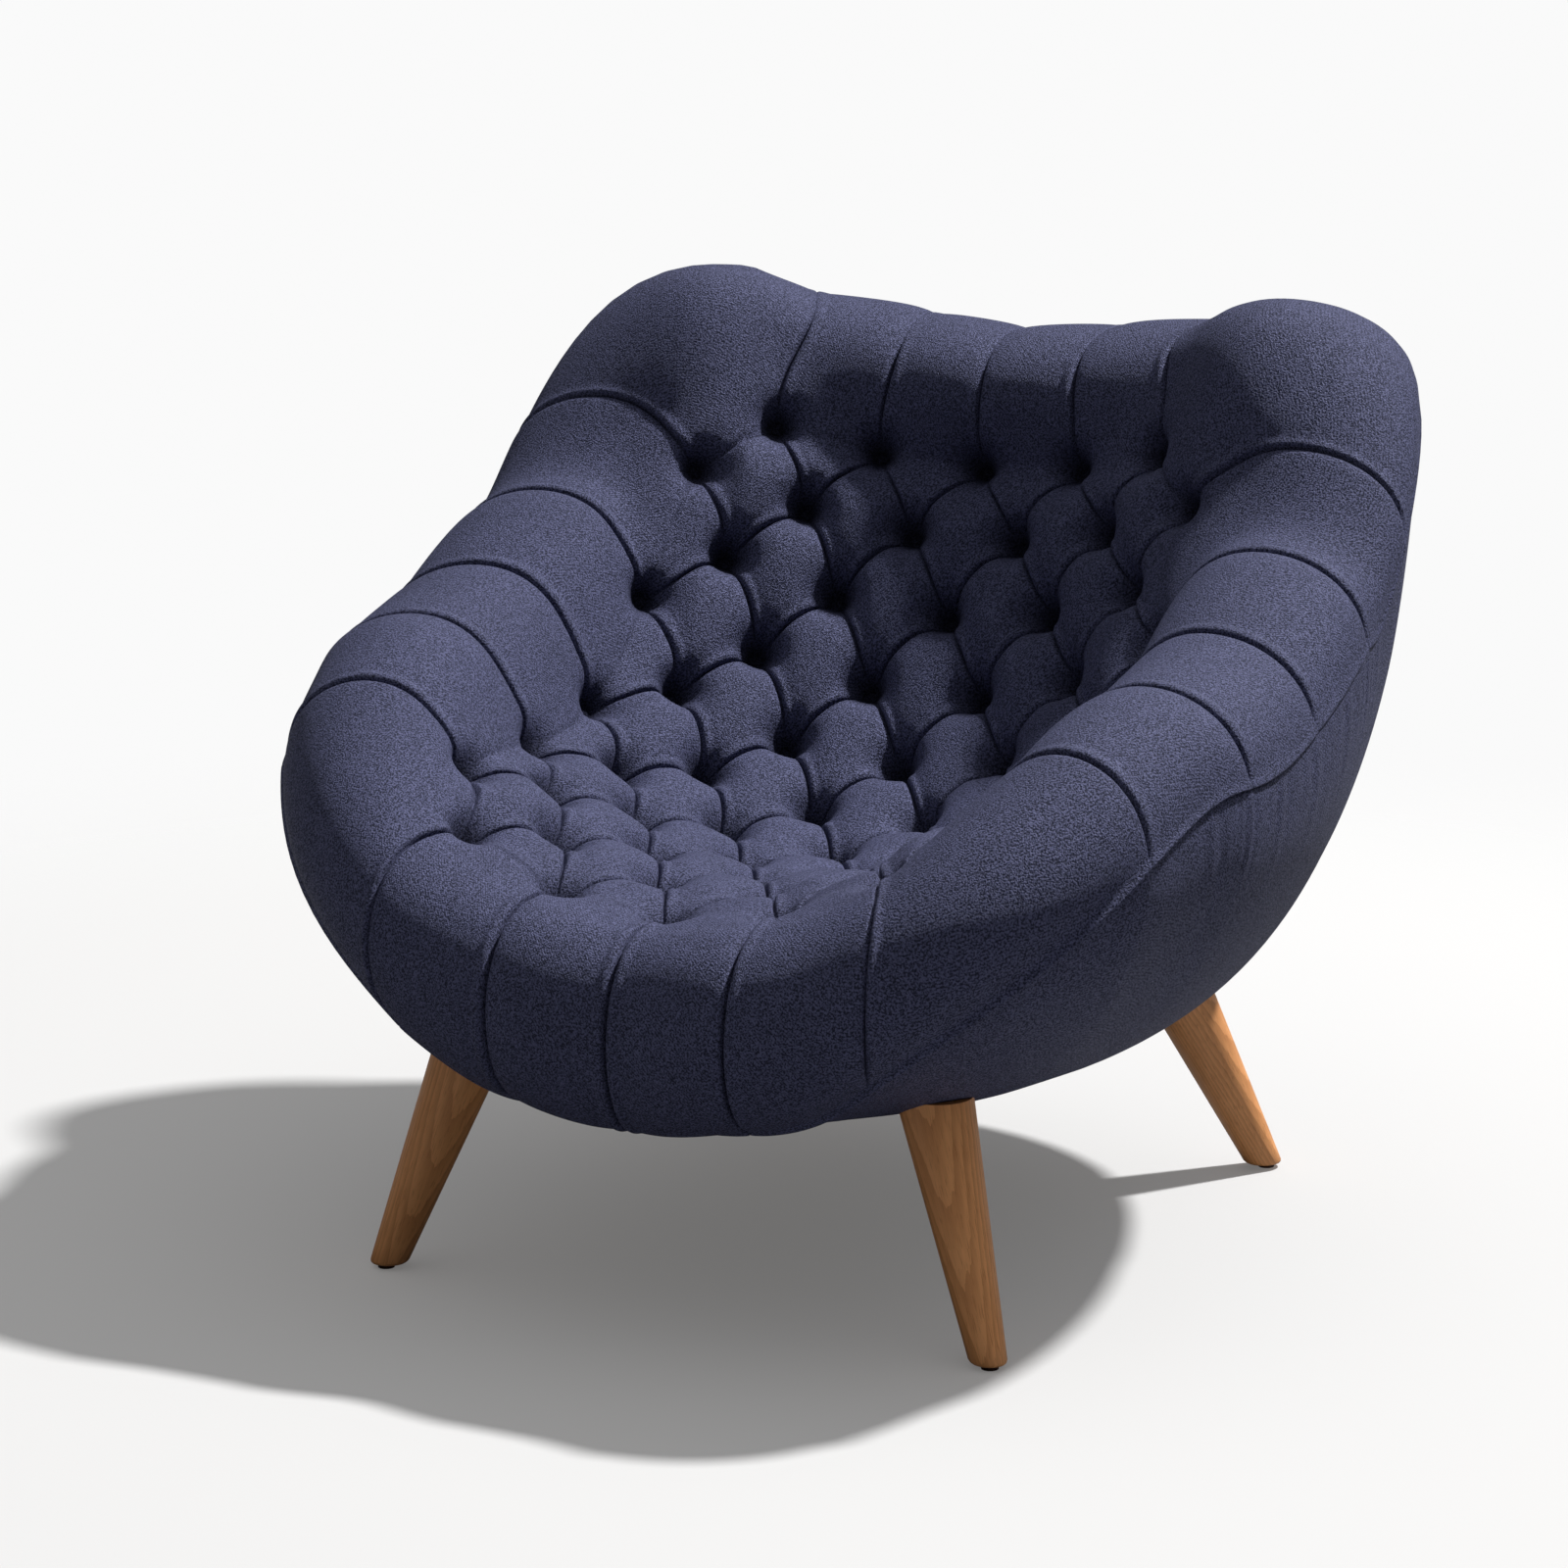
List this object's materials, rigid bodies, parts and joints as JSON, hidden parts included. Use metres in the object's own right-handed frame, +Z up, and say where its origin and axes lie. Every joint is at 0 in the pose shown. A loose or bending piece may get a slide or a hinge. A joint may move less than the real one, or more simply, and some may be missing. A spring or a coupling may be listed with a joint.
{
  "type": "easy chair",
  "caption": "Deep-buttoned bucket easy chair with a fat pleated roll round the rim, a smooth outer cover and splayed round oak legs.",
  "frame": {"origin": "middle of the underside of the chair's box, on the floor", "axes": "+Z up, the seat opens towards -Y, and +X is to the right as seen from the front"},
  "size_m": [1.0474, 1.0562, 0.9215],
  "materials": {
    "wool": "matt brushed wool",
    "foam": "cut foam",
    "shell": "moulded glass fibre",
    "ply": "sanded birch plywood",
    "oak": "oiled oak",
    "steel": "zinc plated",
    "cloth": "woven black dust cloth",
    "nylon": "moulded brown nylon"
  },
  "bodies": {
    "root": {"tufted_back_pad": "wool", "tufted_seat_pad": "wool", "rim_pad_back": "wool", "rim_pad_right": "wool", "rim_pad_front": "wool", "rim_pad_left": "wool", "outer_cover": "wool", "button_line_1": "wool", "button_line_2": "wool", "button_line_3": "wool", "button_line_4": "wool", "button_line_5": "wool", "button_line_6": "wool", "button_line_7": "wool", "button_line_8": "wool", "button_line_9": "wool", "button_line_10": "wool", "button_line_11": "wool", "back_foam": "foam", "seat_foam": "foam", "rim_foam": "foam", "bucket_shell": "shell", "rim_rail": "steel", "long_rib_left_1": "ply", "long_rib_left_2": "ply", "long_rib_right_1": "ply", "long_rib_right_2": "ply", "side_rib_left_1": "ply", "side_rib_left_2": "ply", "side_rib_left_3": "ply", "side_rib_right_1": "ply", "side_rib_right_2": "ply", "side_rib_right_3": "ply", "base_board": "ply", "dust_cover": "cloth", "leg_front_left": "oak", "leg_front_right": "oak", "leg_back_left": "oak", "leg_back_right": "oak", "bolt_front_left": "steel", "bolt_front_right": "steel", "bolt_back_left": "steel", "bolt_back_right": "steel", "washer_front_left": "steel", "washer_front_right": "steel", "washer_back_left": "steel", "washer_back_right": "steel", "nut_front_left": "steel", "nut_front_right": "steel", "nut_back_left": "steel", "nut_back_right": "steel", "glide_front_left": "nylon", "glide_front_right": "nylon", "glide_back_left": "nylon", "glide_back_right": "nylon"}
  },
  "joints": []
}
